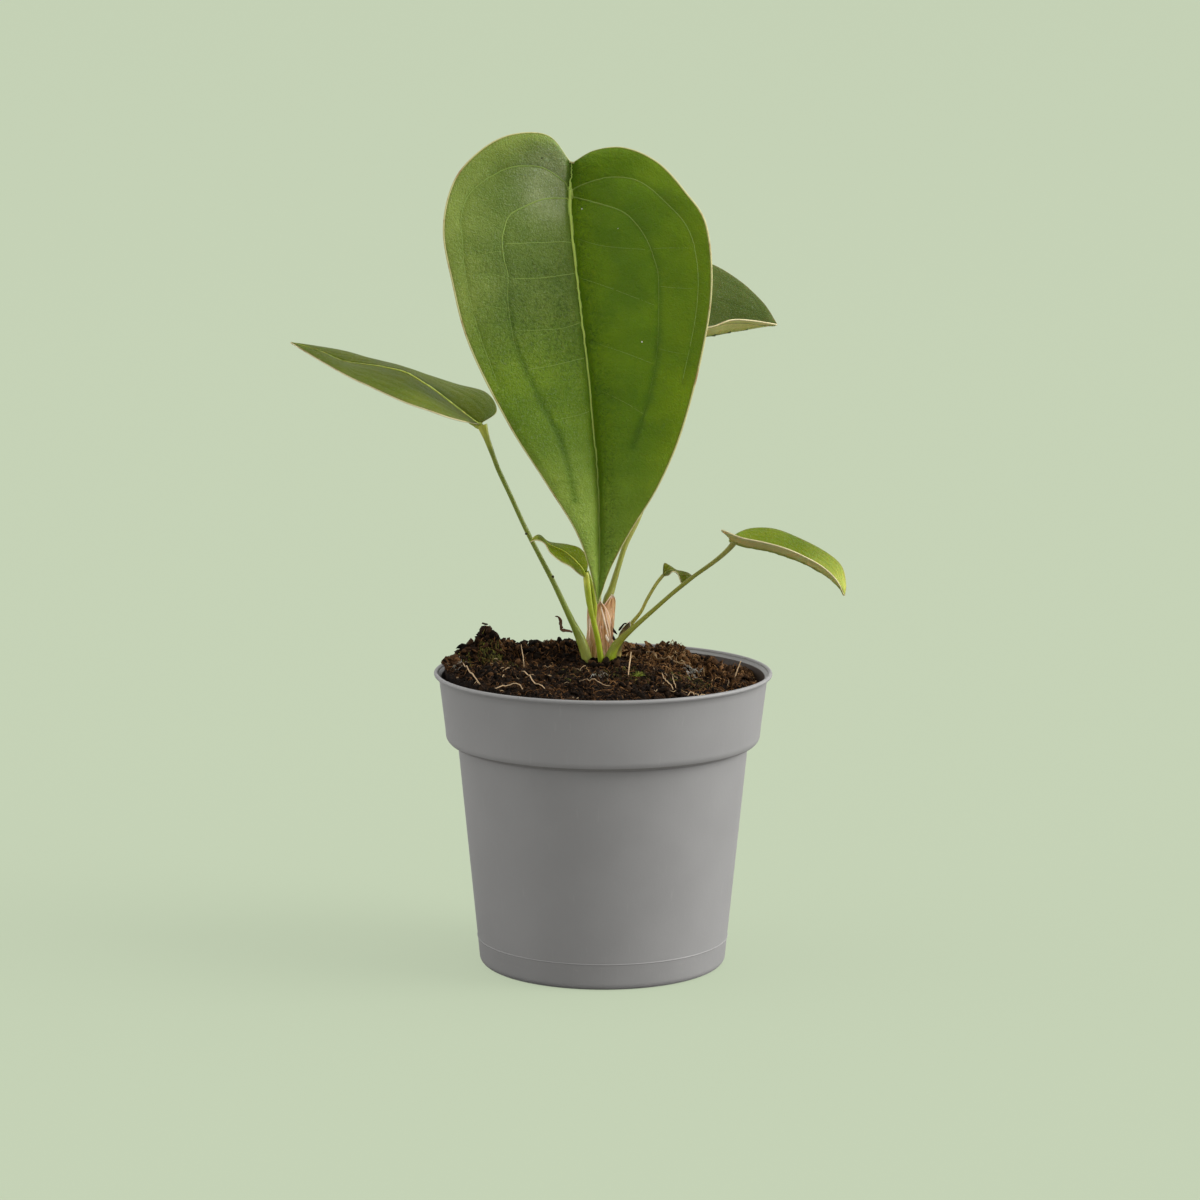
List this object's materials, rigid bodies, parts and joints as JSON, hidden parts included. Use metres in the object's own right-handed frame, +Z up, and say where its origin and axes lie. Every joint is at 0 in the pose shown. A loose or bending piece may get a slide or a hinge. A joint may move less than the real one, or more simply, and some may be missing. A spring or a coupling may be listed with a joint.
{
  "type": "potted anthurium plant",
  "caption": "Young anthurium with heart-shaped leaves growing in a grey plastic nursery pot of dark potting soil.",
  "frame": {"origin": "centre of the pot's flat underside", "axes": "+Z up along the pot's axis; -Y is the side that the big leaf faces; +X to the right as seen from there"},
  "size_m": [0.1967, 0.1219, 0.2944],
  "materials": {
    "pot_plastic": "matte",
    "potting_soil": "matte",
    "stock_rind": "matte",
    "sheath_tan": "matte",
    "stalk_green": "satin",
    "big_leaf_green": "satin",
    "old_leaf_olive": "satin",
    "young_leaf_green": "satin",
    "folded_leaf_olive": "satin"
  },
  "bodies": {
    "root": {"pot": "pot_plastic", "soil": "potting_soil", "stock": "stock_rind", "cataphyll_front": "sheath_tan", "cataphyll_left": "sheath_tan", "cataphyll_right": "sheath_tan", "leaf_1_petiole": "stalk_green", "leaf_2_petiole": "stalk_green", "leaf_3_petiole": "stalk_green", "leaf_4_petiole": "stalk_green", "leaf_5_petiole": "stalk_green", "leaf_6_petiole": "stalk_green", "leaf_1_blade": "big_leaf_green", "leaf_2_blade": "old_leaf_olive", "leaf_3_blade": "old_leaf_olive", "leaf_4_blade": "young_leaf_green", "leaf_5_blade": "folded_leaf_olive", "leaf_6_blade": "young_leaf_green"}
  },
  "joints": []
}
